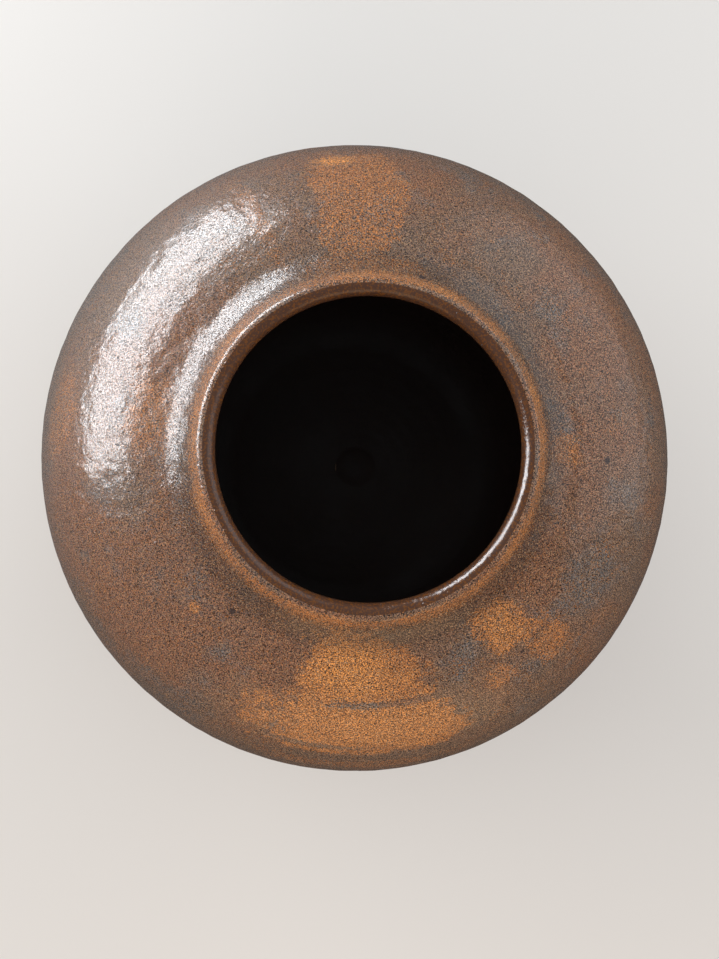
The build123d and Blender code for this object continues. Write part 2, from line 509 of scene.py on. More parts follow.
def turned(bench, vector, turn):
    """Carry a vector from the section's plane round the axis."""
    out, _, up = bench.parts(vector)
    x = bench.times(out, bench.math("COSINE", turn))
    y = bench.times(out, bench.math("SINE", turn))
    return bench.joined(x, y, up)


def wrapped_grid(bench, given, position):
    """Return a grid of rows by columns, wrapped round the axis with its seam and its poles welded."""
    sides = {"Vertices X": bench.plus(given["Columns"], 1.0), "Vertices Y": given["Rows"]}
    grid = bench.first("GeometryNodeMeshGrid", sides)
    index = bench.first("GeometryNodeInputIndex")
    row = bench.math("MODULO", index, given["Rows"])
    column = bench.math("FLOOR", bench.over(index, given["Rows"]))
    turn = bench.times(bench.over(column, given["Columns"]), radians(360))
    for name, data_type in CARRIED.items():
        value = along_section(bench, given, named(bench, name), data_type, row)
        inputs = {"Geometry": grid, "Name": name, "Value": value}
        grid = bench.first("GeometryNodeStoreNamedAttribute", inputs, data_type=data_type, domain="POINT")
    place = turned(bench, along_section(bench, given, position, "FLOAT_VECTOR", row), turn)
    grid = bench.first("GeometryNodeSetPosition", {"Geometry": grid, "Position": place})
    return bench.first("GeometryNodeMergeByDistance", {"Geometry": grid, "Distance": WELD})


def thrower_marks(bench, given, position, around):
    """Return the push along the normal: slow wobble, spiral rings and ripple, less the sink."""
    ring_waver = 2.0
    seeded = bench.vector_math("ADD", position, bench.joined(z=given["Seed"]))
    slow = bench.swing(seeded, given["Wobble Size"], 1.0, detail=1.0)
    fine = bench.swing(seeded, given["Ripple Size"], 1.0)
    phase = bench.times(bench.over(named(bench, "run"), given["Ring Spacing"]), radians(360))
    phase = bench.plus(phase, bench.times(around, -1.0), bench.times(slow, ring_waver))
    marks = bench.plus(
        bench.times(slow, given["Wobble Depth"]),
        bench.times(bench.math("SINE", phase), given["Ring Depth"]),
        bench.times(fine, given["Ripple Depth"]),
        bench.times(given["Sink"], -1.0),
    )
    push = bench.times(marks, named(bench, "give"))
    return bench.scaled(bench.first("GeometryNodeInputNormal"), push)


def edge_slide(bench, given, around):
    """Return the slide along the wall that makes the glaze edge run up and down in slow waves."""
    wave_size = 0.45        # against a circle of radius 1
    place = bench.joined(bench.math("COSINE", around), bench.math("SINE", around), given["Seed"])
    wave = bench.fit(bench.noise(place, wave_size, 3.0), 0.3, 0.7, -1.0, 1.0, smooth=False)
    along = turned(bench, named(bench, "slide"), around)
    return bench.scaled(along, bench.times(wave, given["Edge Wave"]))


def centre_drift(bench, given, position):
    """Return the shift to one side near the axis, as on a floor that ran off centre."""
    level = bench.vector_math("MULTIPLY", position, (1.0, 1.0, 0.0))
    from_axis = bench.node("ShaderNodeVectorMath", {0: level}, operation="LENGTH").outputs["Value"]
    near_axis = bench.fit(bench.over(from_axis, given["Drift Radius"]), 0.0, 1.0, 1.0, 0.0)
    return bench.scaled(given["Drift"], near_axis)


def thrown_tree():
    """Return the tree that turns a section about the vase's axis and leaves the thrower's marks on it."""
    inputs = [
        ("Section", "Geometry", None),
        ("Rows", "Int", 2),
        ("Columns", "Int", 64),
        ("Sink", "Float", 0.0),
        ("Wobble Depth", "Float", 0.0),
        ("Wobble Size", "Float", 40 * MM),
        ("Ring Depth", "Float", 0.0),
        ("Ring Spacing", "Float", 8 * MM),
        ("Ripple Depth", "Float", 0.0),
        ("Ripple Size", "Float", 5 * MM),
        ("Edge Wave", "Float", 0.0),
        ("Drift", "Vector", (0, 0, 0)),
        ("Drift Radius", "Float", 50 * MM),
        ("Seed", "Float", 1.0),
        ("Finish", "Material", None),
    ]
    bench, given = new_tree("thrown", "GeometryNodeTree", inputs)
    position = bench.first("GeometryNodeInputPosition")
    x, y, _ = bench.parts(position)
    around = bench.math("ARCTAN2", y, x)
    body = wrapped_grid(bench, given, position)
    offset = bench.vector_math(
        "ADD", thrower_marks(bench, given, position, around), edge_slide(bench, given, around)
    )
    offset = bench.vector_math("ADD", offset, centre_drift(bench, given, position))
    body = bench.first("GeometryNodeSetPosition", {"Geometry": body, "Offset": offset})

    # Square corners stay crisp and the rest is smooth
    corner = bench.first("GeometryNodeInputMeshEdgeAngle")
    sharp = bench.math("GREATER_THAN", corner, radians(SHARP_CORNER))
    smooth = {"Geometry": body, "Shade Smooth": True}
    body = bench.first("GeometryNodeSetShadeSmooth", smooth, domain="FACE")
    crisp = {"Geometry": body, "Selection": sharp, "Shade Smooth": False}
    body = bench.first("GeometryNodeSetShadeSmooth", crisp, domain="EDGE")
    for name in CARRIED:
        body = bench.first("GeometryNodeRemoveAttribute", {"Geometry": body, "Name": name})
    body = bench.first("GeometryNodeRealizeInstances", {"Geometry": body})
    body = bench.first("GeometryNodeSetMaterial", {"Geometry": body, "Material": given["Finish"]})
    return close_tree(bench, "Geometry", {"Piece": body})


def thrown(name, section, mesh, **marks):
    """Return a plain mesh object: the section turned by the thrown tree with these marks."""
    tree = bpy.data.node_groups.get("thrown") or thrown_tree()
    piece = bpy.data.objects.new(name, mesh)
    bpy.context.scene.collection.objects.link(piece)
    modifier = piece.modifiers.new("thrown", "NODES")
    modifier.node_group = tree
    sockets = {item.name: item.identifier for item in tree.interface.items_tree if item.in_out == "INPUT"}
    for key, value in {"rows": len(section.points), **marks}.items():
        modifier[sockets[titled(key)]] = value
    depsgraph = bpy.context.evaluated_depsgraph_get()
    finished = bpy.data.meshes.new_from_object(piece.evaluated_get(depsgraph), depsgraph=depsgraph)
    piece.modifiers.clear()
    piece.data = finished
    finished.name = name
    bpy.data.meshes.remove(mesh)
    return piece


# Shared shader effects

def effect(name, **inputs):
    """Turn a function that adds an effect's nodes into one that returns its group, built on first use.

    An input's default is a number, or None for a vector.
    """
    def wrap(build):
        def group_tree():
            known = bpy.data.node_groups.get(name)
            if known:
                return known
            wanted = []
            for key, value in inputs.items():
                value_type = "Vector" if value is None else "Float"
                wanted.append((titled(key), value_type, value))
            bench, given = new_tree(name, "ShaderNodeTree", wanted)
            return close_tree(bench, "Float", build(bench, given))
        return group_tree
    return wrap


@effect("pot place", position=None, hub_radius=45 * MM, hub_height=106 * MM)
def pot_place(bench, given):
    """Say where a point is on the pot: degrees round it, degrees down from straight up, radius, height."""
    x, y, z = bench.parts(given["Position"])
    azimuth = bench.math("DEGREES", bench.math("ARCTAN2", y, x))
    radius = bench.math("SQRT", bench.plus(bench.times(x, x), bench.times(y, y)))
    out = bench.minus(radius, given["Hub Radius"])
    up = bench.minus(z, given["Hub Height"])
    fall = bench.math("DEGREES", bench.math("ARCTAN2", out, up))
    return {"Azimuth": azimuth, "Fall": fall, "Radius": radius, "Height": z}


@effect(
    "rust patch", azimuth=0.0, fall=0.0, torn=0.0, centre=0.0, half_width=10.0, middle=30.0,
    half_height=10.0, lean=0.0, softness=0.2,
)
def rust_patch(bench, given):
    """Mask one patch of the pot, squarer than an ellipse, with torn edges."""
    squareness = 3.0
    turn = bench.math("WRAP", bench.minus(given["Azimuth"], given["Centre"]), 180.0, -180.0)
    down = bench.minus(given["Fall"], given["Middle"])
    turn = bench.minus(turn, bench.times(given["Lean"], down))
    across = bench.math("ABSOLUTE", bench.over(turn, given["Half Width"]))
    along = bench.math("ABSOLUTE", bench.over(down, given["Half Height"]))
    powers = bench.plus(*(bench.math("POWER", reach, squareness) for reach in (across, along)))
    reach = bench.plus(bench.math("POWER", powers, 1 / squareness), given["Torn"])
    near = bench.minus(1.0, given["Softness"])
    far = bench.plus(1.0, given["Softness"])
    return {"Mask": bench.fit(reach, near, far, 1.0, 0.0)}


@effect("speckle", position=None, grain=0.6 * MM, share=0.3, softness=0.1)
def speckle(bench, given):
    """Scatter fine grains over a share of the surface, with the bare grit beside them."""
    noise = bench.noise(given["Position"], given["Grain"], 2.0, 0.65)
    grit = bench.fit(noise, 0.36, 0.64, smooth=False)
    level = bench.minus(1.0, given["Share"])
    low = bench.minus(level, given["Softness"])
    high = bench.plus(level, given["Softness"])
    return {"Mask": bench.fit(grit, low, high), "Grit": grit}


@effect("spots", position=None, spacing=5 * MM, spot_radius=0.6 * MM, share=0.5)
def spots(bench, given):
    """Scatter round spots of mixed size with soft edges."""
    smallest, core = 0.45, 0.6      # against the largest spot, and against the spot's own radius
    scale = bench.over(1.0, given["Spacing"])
    cells = {"Vector": given["Position"], "Scale": scale, "Randomness": 1.0}
    cell = bench.node("ShaderNodeTexVoronoi", cells)
    keep_chance, size_chance, _ = bench.node("ShaderNodeSeparateColor", {0: cell.outputs["Color"]}).outputs
    distance = bench.times(cell.outputs["Distance"], given["Spacing"])
    size = bench.times(given["Spot Radius"], bench.fit(size_chance, 0.0, 1.0, smallest, 1.0, smooth=False))
    spot = bench.fit(distance, bench.times(size, core), size, 1.0, 0.0)
    kept = bench.math("LESS_THAN", keep_chance, given["Share"])
    return {"Mask": bench.times(spot, kept)}


@effect(
    "glaze skin", position=None, dimple_size=3.5 * MM, dimple_depth=0.26, grain_size=0.5 * MM,
    grain_depth=0.012, pimple_height=0.07, pinhole_depth=0.15,
)
def glaze_skin(bench, given):
    """Give a fired glaze its height in mm: dimples, pimples, grain and open pinholes."""
    position = given["Position"]
    dimples = bench.times(bench.noise(position, given["Dimple Size"], 2.0), given["Dimple Depth"])
    grain = bench.fit(bench.noise(position, given["Grain Size"], 2.0, 0.6), 0.42, 0.60)
    grain = bench.times(grain, given["Grain Depth"])
    pimples = bench.group(spots(), position=position, spacing=2.2 * MM, spot_radius=0.5 * MM, share=0.45)
    pimples = bench.times(pimples["Mask"], given["Pimple Height"])
    holes = bench.group(spots(), position=position, spacing=9 * MM, spot_radius=0.45 * MM, share=0.45)
    pits = bench.times(holes["Mask"], given["Pinhole Depth"])
    return {"Height": bench.minus(bench.plus(dimples, grain, pimples), pits)}


@effect("turning lines", place=0.0, position=None, spacing=1.6, waver=0.5)
def turning_lines(bench, given):
    """Draw fine level lines, as a turning tool or a finger leaves them."""
    waver = bench.times(bench.noise(given["Position"], 30 * MM, 1.0), given["Waver"])
    level = bench.over(bench.plus(given["Place"], waver), given["Spacing"])
    lines = bench.noise(bench.joined(z=level), 1.0, 2.0, 0.6)
    return {"Lines": bench.fit(lines, 0.3, 0.7, smooth=False)}


# Materials

MM_PER_METRE = 1000.0
CERAMIC_IOR = 1.5

# Steps of a metre, to places where the same noise reads differently
TO_SIDE = (1.0, 0.0, 0.0)
TO_BACK = (0.0, 1.0, 0.0)
UP = (0.0, 0.0, 1.0)


def new_material(name):
    """Return a new material's bench, its Principled shader and its object position."""
    material = bpy.data.materials.new(name)
    material.use_nodes = True
    bench = Bench(material.node_tree)
    shader = material.node_tree.nodes["Principled BSDF"]
    position = bench.node("ShaderNodeTexCoord").outputs["Object"]
    return material, bench, shader, position


def finish_shader(bench, shader, tint, roughness, height, ior=CERAMIC_IOR):
    """Join the colour, roughness and height in mm to a Principled shader."""
    normal = bench.first("ShaderNodeBump", {"Height": height, "Distance": MM, "Strength": 1.0})
    bench.feed(shader.inputs["Base Color"], tint)
    bench.feed(shader.inputs["Roughness"], roughness)
    bench.feed(shader.inputs["Normal"], normal)
    bench.feed(shader.inputs["IOR"], ior)


# A patch lies at degrees round the pot and degrees down from straight up
Patch = namedtuple("Patch", "centre half_width middle half_height lean softness strength")

RUST_PATCHES = (
    Patch(-92, 16, 18, 15, 0.05, 0.25, 1.00),      # apron below the mouth: its top
    Patch(-92, 22, 37, 14, 0.05, 0.22, 1.00),      # its broad skirt
    Patch(-92, 22, 58, 4, 0.00, 0.50, 0.55),       # thin rust at its foot
    Patch(-53, 7.5, 18, 10, 0.20, 0.28, 0.82),     # smaller patch beside it
    Patch(-46, 5.5, 30, 10, 0.10, 0.32, 0.72),     # its outer lobe
    Patch(-59, 4, 30, 5, 0.00, 0.40, 0.60),        # faint fleck under it
    Patch(0, 5, 9, 6, 0.00, 0.45, 0.65),           # small patch right of the neck
    Patch(91.5, 10.5, 29, 25, 0.02, 0.12, 0.66),   # band above the mouth
    Patch(96, 3.5, 47, 2.5, 0.00, 0.40, 1.00),     # its hot spot, amber glaze with a painted warm highlight
    Patch(92, 20, 3, 6, 0.00, 0.50, 0.70),         # rust at the foot of the neck
    Patch(115.5, 2.2, 28, 25, 0.00, 0.50, 0.50),   # narrow run
    Patch(171, 11, 14, 9, 0.00, 0.50, 0.60),       # left of the neck
    Patch(172, 9, 50, 8, 0.00, 0.50, 0.60),        # left edge
    Patch(-138, 1.8, 19, 1.8, 0.00, 0.50, 0.90),   # fleck
)
HOT_SPOTS = (
    Patch(-95, 10, 15, 9, 0.00, 0.80, 1.00),       # top of the apron
    Patch(-88, 16, 36, 9, 0.00, 0.80, 0.60),       # middle of its skirt
    Patch(-53, 5, 18, 7, 0.00, 0.60, 0.60),        # smaller patch
    Patch(96, 4, 47, 3, 0.00, 0.50, 1.00),         # outer end of the band, amber glaze with a painted warm highlight
)
DARK_STREAKS = (
    Patch(-82, 15, 27, 1.3, 0.00, 0.60, 0.70),     # across the apron
    Patch(-102, 14, 46, 1.2, 0.00, 0.60, 0.65),    # along its hem
    Patch(-85, 22, 52, 2.0, 0.00, 0.60, 0.80),     # under its hem
    Patch(-48, 8, 26, 1.5, 0.00, 0.60, 0.30),      # between the two lobes
)


def patches(bench, place, torn, chosen):
    """Return the strongest of the chosen patches at each point."""
    total = None
    where = {"azimuth": place["Azimuth"], "fall": place["Fall"], "torn": torn}
    for patch in chosen:
        sizes = patch._asdict()
        strength = sizes.pop("strength")
        mask = bench.group(rust_patch(), **where, **sizes)["Mask"]
        mask = bench.times(mask, strength)
        total = mask if total is None else bench.larger(total, mask)
    return total


def shaded(tint, amount):
    """Return a colour made darker or lighter by a factor."""
    return tuple(min(1.0, part * amount) for part in tint)


def sandy(bench, tint, grit, contrast):
    """Return a colour that the grit makes lighter and darker by up to this contrast."""
    tone = bench.fit(grit, 0.0, 1.0, 1 - contrast, 1 + contrast, smooth=False)
    return bench.mix(1.0, tint, tone, "MULTIPLY")


def glaze_ground(bench, look, position, grit):
    """Return the colour of the unbroken glaze: brown and umber clouds under a blue-grey bloom."""
    cloud = bench.noise(position, 34 * MM, 3.0, 0.55)
    ground = bench.mix(bench.fit(cloud, 0.38, 0.62), look.chocolate, look.umber)
    bloom_place = bench.vector_math("ADD", position, TO_SIDE)
    bloom = bench.fit(bench.noise(bloom_place, 16 * MM, 4.0, 0.65), 0.50, 0.68)
    bloom = bench.times(bloom, bench.fit(grit, 0.75, 0.25, 0.35, 1.0))
    return bench.mix(bloom, ground, look.gunmetal)


def lip_rust(bench, place, position):
    """Mask the outer slope of the lip, where the glaze runs thin and breaks to rust."""
    slope = bench.band(place["Radius"], rise=(43 * MM, 44.5 * MM), fall=(46 * MM, 50 * MM))
    cloud = bench.fit(bench.noise(position, 15 * MM, 2.0), 0.35, 0.65, 0.60, 1.00)
    return bench.times(slope, cloud)


def warm_glaze(bench, look, position, broken, hot):
    """Return the colour of the broken glaze: dull rust that brightens to amber where it glows, with a
    painted warm highlight at the hot spot near the top edge.
    """
    most_glow = 0.5
    glow = bench.fit(bench.noise(position, 12 * MM, 3.0, 0.6), 0.38, 0.66)
    glow = bench.times(glow, bench.fit(broken, 0.55, 1.0, 0.0, most_glow))
    glow = bench.larger(glow, hot)
    dull = bench.mix(bench.fit(broken, 0.2, 0.7), shaded(look.rust, 0.65), look.rust)
    return bench.mix(glow, dull, look.amber)


def wall_tone(bench, place, lined):
    """Return how light the glaze is: painted shade in the neck's hollow under the lip, darker low on the
    wall, and lined.
    """
    whole, in_neck_shade, low_down, in_lines = 1.05, -0.50, -0.34, 0.45
    # Painted shade where the lip shadows the hollow of the neck
    neck_shade = bench.band(place["Radius"], rise=(45 * MM, 47.5 * MM), fall=(50 * MM, 57 * MM))
    # Darker down the wall towards the belly
    darker_down_wall = bench.fit(place["Fall"], 36.0, 68.0, 0.0, low_down)
    return bench.plus(whole, bench.times(neck_shade, in_neck_shade), bench.times(lined, in_lines), darker_down_wall)


def iron_spotted(bench, look, position, body):
    """Return a colour with small and large iron spots over it."""
    small_strength, large_strength = 0.6, 0.85
    small = bench.group(spots(), position=position, spacing=4.0 * MM, spot_radius=0.55 * MM, share=0.5)
    large = bench.group(spots(), position=position, spacing=13 * MM, spot_radius=1.4 * MM, share=0.40)
    spotted = bench.larger(
        bench.times(small["Mask"], small_strength), bench.times(large["Mask"], large_strength)
    )
    return bench.mix(spotted, body, look.iron)


def iron_glaze(look):
    """Return the outer glaze: a glossy iron brown that breaks to sandy rust, with iron spots and pits."""
    grit_contrast, grain_spread, matt_darkness = 1.15, 0.26, 0.62
    matt_roughness, broken_roughness, line_height = 0.70, 0.16, 0.03
    material, bench, shader, position = new_material("iron_glaze")
    behind = bench.vector_math("ADD", position, TO_BACK)
    above = bench.vector_math("ADD", position, UP)
    place = bench.group(pot_place(), position=position)
    torn = bench.plus(
        bench.swing(position, 16 * MM, 0.22),
        bench.swing(position, 3 * MM, 0.24, detail=3.0, roughness=0.6),
    )
    grit = bench.group(speckle(), position=position, grain=0.36 * MM)["Grit"]
    coarse = bench.group(speckle(), position=behind, grain=0.55 * MM)["Grit"]

    # Where the glaze breaks, a share of its grains turn to rust
    streaks = patches(bench, place, torn, DARK_STREAKS)
    broken = bench.times(patches(bench, place, torn, RUST_PATCHES), bench.minus(1.0, streaks))
    broken = bench.larger(broken, lip_rust(bench, place, behind))
    mottle = bench.fit(bench.noise(behind, 11 * MM, 3.0, 0.6), 0.42, 0.72, 0.10, 0.38)
    level = bench.fit(bench.larger(mottle, broken), 0.0, 1.0, 1.08, 0.02, smooth=False)
    rust_share = bench.fit(coarse, bench.minus(level, grain_spread), bench.plus(level, grain_spread))
    ground = glaze_ground(bench, look, position, coarse)
    warm = warm_glaze(bench, look, behind, broken, patches(bench, place, torn, HOT_SPOTS))
    body = sandy(bench, bench.mix(rust_share, ground, warm), grit, grit_contrast)

    # Fine level lines grow stronger down the wall
    lines = bench.group(turning_lines(), place=place["Fall"], position=position, spacing=1.3, waver=2.0)
    lined = bench.times(bench.fit(place["Fall"], 30.0, 70.0, 0.2, 1.0), bench.minus(lines["Lines"], 0.5))
    body = bench.mix(1.0, body, wall_tone(bench, place, lined), "MULTIPLY")

    # Pale specks, dark matt grains and iron spots lie on top
    pale = bench.group(speckle(), position=behind, grain=0.38 * MM, share=0.20, softness=0.10)["Mask"]
    body = bench.mix(bench.times(pale, bench.fit(broken, 0.0, 1.0, 0.60, 0.75)), body, look.straw)
    matt = bench.group(speckle(), position=above, grain=0.36 * MM, share=0.40, softness=0.08)["Mask"]
    body = bench.mix(bench.times(matt, matt_darkness), body, look.iron)
    body = iron_spotted(bench, look, position, body)

    roughness = bench.plus(
        look.gloss, bench.times(broken, broken_roughness), bench.times(matt, matt_roughness)
    )
    skin = bench.group(glaze_skin(), position=position)["Height"]
    height = bench.plus(skin, bench.times(lined, line_height))
    finish_shader(bench, shader, body, roughness, height)
    return material


def liner_glaze(look):
    """Return the liner: a dark glossy glaze, browner and smoother where it thins over the lip."""
    line_height, browning, smoothing = 0.03, 0.6, 0.28
    material, bench, shader, position = new_material("liner_glaze")
    place = bench.group(pot_place(), position=position)
    cloud = bench.noise(position, 18 * MM, 3.0)
    across = bench.times(place["Radius"], MM_PER_METRE)
    lines = bench.group(turning_lines(), place=across, position=position, spacing=2.5)["Lines"]
    thin = bench.fit(place["Height"], 150 * MM, 167 * MM)
    grit = bench.group(speckle(), position=position, grain=0.6 * MM, share=0.35, softness=0.15)["Mask"]
    deep = bench.mix(bench.times(bench.times(cloud, grit), browning), look.liner, look.liner_rust)
    rim = bench.mix(grit, look.liner_rust, shaded(look.rust, 0.4))
    body = bench.mix(thin, deep, rim)
    skin = bench.group(glaze_skin(), position=position)["Height"]
    height = bench.plus(skin, bench.times(lines, line_height))
    roughness = bench.minus(bench.fit(cloud, 0.3, 0.7, 0.42, 0.55), bench.times(thin, smoothing))
    finish_shader(bench, shader, body, roughness, height)
    return material


def bare_stoneware(look):
    """Return the fired clay: toasted buff with grog, iron flecks and turning lines."""
    line_strength, grog_strength, fleck_strength = 0.25, 0.6, 0.9
    line_height, grit_height, grog_height = 0.06, 0.03, 0.04
    material, bench, shader, position = new_material("bare_stoneware_clay")
    above = bench.vector_math("ADD", position, UP)
    place = bench.group(pot_place(), position=position)
    cloud = bench.fit(bench.noise(position, 16 * MM, 3.0, 0.6), 0.3, 0.7)
    across = bench.times(bench.plus(place["Radius"], place["Height"]), MM_PER_METRE)
    lines = bench.group(turning_lines(), place=across, position=position, spacing=0.9)["Lines"]
    body = bench.mix(cloud, look.toasted, look.buff)
    body = bench.mix(bench.times(lines, line_strength), body, look.toasted)
    grog = bench.group(spots(), position=position, spacing=2.0 * MM, spot_radius=0.5 * MM, share=0.6)["Mask"]
    body = bench.mix(bench.times(grog, grog_strength), body, look.grog)
    flecks = bench.group(spots(), position=above, spacing=3.2 * MM, spot_radius=0.45 * MM, share=0.7)["Mask"]
    body = bench.mix(bench.times(flecks, fleck_strength), body, look.iron_fleck)
    grit = bench.group(speckle(), position=position, grain=0.35 * MM)["Grit"]
    height = bench.plus(
        bench.times(lines, line_height), bench.times(grit, grit_height), bench.times(grog, grog_height)
    )
    roughness = bench.fit(grit, 0.0, 1.0, 0.72, 0.92, smooth=False)
    finish_shader(bench, shader, body, roughness, height)
    return material


def joining_slip(look):
    """Return the joining slip: the clay's own colour, smoother and a little darker."""
    grit_height = 0.02
    material, bench, shader, position = new_material("joining_slip_clay")
    cloud = bench.fit(bench.noise(position, 5 * MM, 3.0), 0.3, 0.7)
    body = bench.mix(cloud, look.slip, look.toasted)
    grit = bench.group(speckle(), position=position, grain=0.3 * MM)["Grit"]
    roughness = bench.fit(grit, 0.0, 1.0, 0.7, 0.9, smooth=False)
    finish_shader(bench, shader, body, roughness, bench.times(grit, grit_height))
    return material


def studio_floor(look):
    """Return the floor: pale, matt and very slightly uneven, and darker in the glaze's shine."""
    cloud_size, grain_height = 0.4, 0.03
    material, bench, shader, position = new_material("studio_floor")
    cloud = bench.noise(position, cloud_size, 2.0)
    body = bench.mix(cloud, look.floor, shaded(look.floor, 0.94))
    in_shine = bench.node("ShaderNodeLightPath").outputs["Is Glossy Ray"]
    body = bench.mix(in_shine, body, shaded(look.floor, look.floor_in_shine))
    roughness = bench.fit(cloud, 0.3, 0.7, 0.6, 0.75)
    grain = bench.times(bench.noise(position, 3 * MM, 2.0), grain_height)
    finish_shader(bench, shader, body, roughness, grain, ior=1.4)
    return material


# Pieces

def on_vase(piece, node):
    """Put a finished piece on the vase in place of its CAD node."""
    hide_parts(node)
    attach(piece, "root")


def outer_coat_section(form):
    """Return the section of the outer coat: up the wall from the glaze line, over the lip, and back."""
    line = Outline(form)
    coat = form.coat
    stop = line.tilt_at(form.glaze_line, 0)
    edge_middle = line.lower_centre + toward(stop) * (line.lower_radius - coat / 2)
    edge = Arc(edge_middle, coat / 2, stop + 180, stop)
    face = (
        (line.lower(0, 90, stop), 1.9 * MM), (line.belly(0), 1.0 * MM), (line.shoulder(0), 0.9 * MM),
        (line.cove(0), 0.6 * MM), (line.lip(0), 0.2 * MM),
    )
    back = (
        (line.lip(coat), 1 * MM), (line.cove(coat), 3 * MM), (line.shoulder(coat), 4 * MM),
        (line.belly(coat), 4 * MM), (line.lower(coat, 90, stop), 6 * MM),
    )
    section = Section()
    section.arc(edge, 0.12 * MM)
    for arc, spacing in face:
        section.arc(arc, spacing, give=FREE, backward=True)
    section.gives[-1] = STILL
    for arc, spacing in back:
        section.arc(arc, spacing)
    section.add(section.points[0], STILL)
    return section


def liner_section(form):
    """Return the section of the liner coat, from the axis out along its back and in over its face."""
    line = Outline(form)
    coat, inside, under = form.coat, form.wall, form.wall - form.coat
    turn_tilt = line.floor_turn(0).start
    inner_lip = line.lip_tilt - 180
    crest_rest = 30             # the crest of the lip keeps still over this many degrees
    knob = line.knob(0)
    back = (
        (line.knob(coat), 3 * MM), (line.floor_turn(coat), 4 * MM),
        (line.lower(under, 90, turn_tilt), 6 * MM), (line.belly(under), 4 * MM),
        (line.shoulder(under), 4 * MM), (line.cove(under), 3 * MM), (line.lip(coat, inner_lip), 1 * MM),
    )
    face = (
        (line.lip(0, inner_lip)._replace(start=-crest_rest), 0.25 * MM), (line.cove(inside), 0.9 * MM),
        (line.shoulder(inside), 1.6 * MM), (line.belly(inside), 1.8 * MM),
        (line.lower(inside, 90, turn_tilt), 1.8 * MM), (line.floor_turn(0), 1.2 * MM),
    )
    section = Section()
    for arc, spacing in back:
        section.arc(arc, spacing, backward=True)
    section.arc(line.lip(0, -crest_rest), 0.25 * MM)
    for arc, spacing in face:
        section.arc(arc, spacing, give=FREE)
    section.line(knob.centre + toward(knob.start) * knob.radius, 1.2 * MM, FREE)
    section.arc(knob, 0.8 * MM, FREE)
    return section


def foot_ring_section(form):
    """Return the section of the foot ring, with its rounded bottom edges."""
    outer, inner = form.foot_radius, form.foot_radius - form.foot_width
    edge, top = form.foot_edge, form.foot_height
    section = Section()
    section.add(Vector((outer, top)), STILL)
    section.line((inner, top), 3 * MM)
    section.line((inner, edge), 0.5 * MM, FREE)
    section.arc(Arc(Vector((inner + edge, edge)), edge, -90, -180), 0.3 * MM, FREE)
    section.line((outer - edge, 0), 0.5 * MM, FREE)
    section.arc(Arc(Vector((outer - edge, edge)), edge, 180, 90), 0.3 * MM, FREE)
    section.line((outer, top), 0.5 * MM, FREE)
    return section


def bowl_section(form):
    """Return the section of the lower bowl, fine on its bare underside and edge."""
    line = Outline(form)
    skin, inside = form.coat, form.wall - form.coat
    under_glaze = 4 * MM            # how far the tool marks run on under the glaze
    base_tilt = line.tilt_at(form.base_height, skin)
    glaze_tilt = line.tilt_at(form.glaze_line + under_glaze, skin)
    turn_tilt = line.floor_turn(0).start
    corner = line.lower_centre + toward(base_tilt) * (line.lower_radius - skin)
    section = Section()
    section.add(Vector((0, form.base_height)), FREE)
    section.line((form.foot_radius - form.foot_width, form.base_height), 0.8 * MM, FREE)
    section.line((form.foot_radius, form.base_height), 3 * MM)
    section.line(corner, 0.5 * MM, FREE)
    section.arc(line.lower(skin, glaze_tilt, base_tilt), 0.7 * MM, FREE, backward=True)
    section.arc(line.lower(skin, 90, glaze_tilt), 5 * MM, backward=True)
    section.line((section.points[-1].x - (inside - skin), section.points[-1].y), 3 * MM)
    section.arc(line.lower(inside, 90, turn_tilt), 5 * MM)
    section.arc(line.floor_turn(form.coat), 4 * MM)
    knob = line.knob(form.coat)
    section.line(knob.centre + toward(knob.start) * knob.radius, 5 * MM)
    section.arc(knob, 3 * MM)
    return section


class VASE_OT_outer_coat(bpy.types.Operator):
    """Throw the outer glaze coat, with its ripples, rings and wavy lower edge"""

    bl_idname = "vase.outer_coat"
    bl_label = "Outer Glaze Coat"

    def execute(self, context):
        form = context.scene.vase_form
        section = outer_coat_section(form)
        out = toward(Outline(form).tilt_at(form.glaze_line, 0))
        up_the_wall = Vector((-out.y, out.x))
        mesh = section_mesh(
            "outer_coat", section, fade=5 * MM,
            slide_level=form.glaze_line, slide_fade=30 * MM, slide_way=up_the_wall,
        )
        piece = thrown(
            "outer_coat", section, mesh, columns=460, sink=0.22 * MM,
            wobble_depth=0.1 * MM, wobble_size=45 * MM, ring_depth=0.02 * MM, ring_spacing=7 * MM,
            ripple_depth=0.09 * MM, ripple_size=4.5 * MM, edge_wave=1.6 * MM, seed=3.0,
            finish=iron_glaze(context.scene.vase_glaze),
        )
        on_vase(piece, "outer_glaze")
        return {"FINISHED"}


class VASE_OT_liner_coat(bpy.types.Operator):
    """Throw the liner glaze coat, with its throwing spiral and off-centre knob"""

    bl_idname = "vase.liner_coat"
    bl_label = "Liner Glaze Coat"

    def execute(self, context):
        form = context.scene.vase_form
        section = liner_section(form)
        mesh = section_mesh("liner_coat", section, fade=5 * MM)
        piece = thrown(
            "liner_coat", section, mesh, columns=360, sink=-0.3 * MM,
            wobble_depth=0.1 * MM, wobble_size=40 * MM, ring_depth=0.04 * MM, ring_spacing=6.5 * MM,
            drift=(3.5 * MM, 0, 0), drift_radius=45 * MM, seed=7.0,
            finish=liner_glaze(context.scene.vase_glaze),
        )
        on_vase(piece, "inner_glaze")
        return {"FINISHED"}


